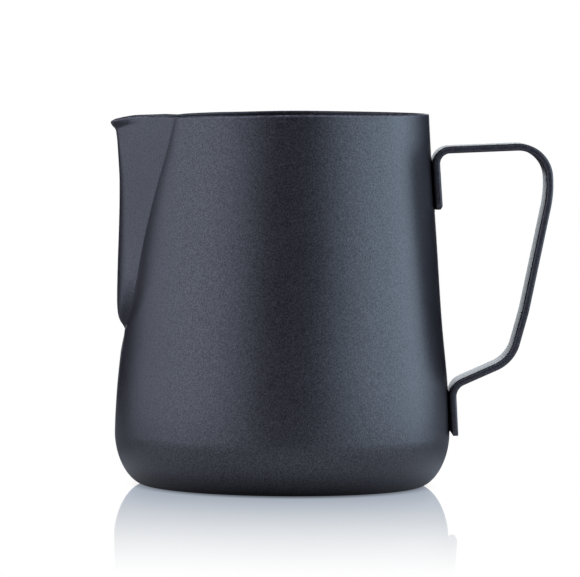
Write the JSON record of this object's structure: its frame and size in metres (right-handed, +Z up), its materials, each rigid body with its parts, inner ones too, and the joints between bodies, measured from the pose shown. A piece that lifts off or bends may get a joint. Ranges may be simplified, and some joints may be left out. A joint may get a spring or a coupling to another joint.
{
  "type": "milk frothing pitcher",
  "caption": "Open pressed-steel jug with a V spout, rounded belly and a welded flat strap handle, for steaming and pouring milk.",
  "frame": {"origin": "on the body axis, at the plane it rests on", "axes": "+Z up along the body axis, +X towards the handle, -X towards the spout, Y across"},
  "size_m": [0.1253, 0.0954, 0.106],
  "materials": {
    "coated_body": "charcoal black satin powder coat with a very fine speckle",
    "coated_handle": "charcoal black satin powder coat, slightly worn to a lighter line on the rolled edges",
    "weld_steel": "as-welded stainless steel, hidden between tab and wall"
  },
  "bodies": {
    "root": {"body_shell": "coated_body", "handle_strap": "coated_handle", "upper_weld_nuggets": "weld_steel", "lower_weld_nuggets": "weld_steel"}
  },
  "joints": []
}
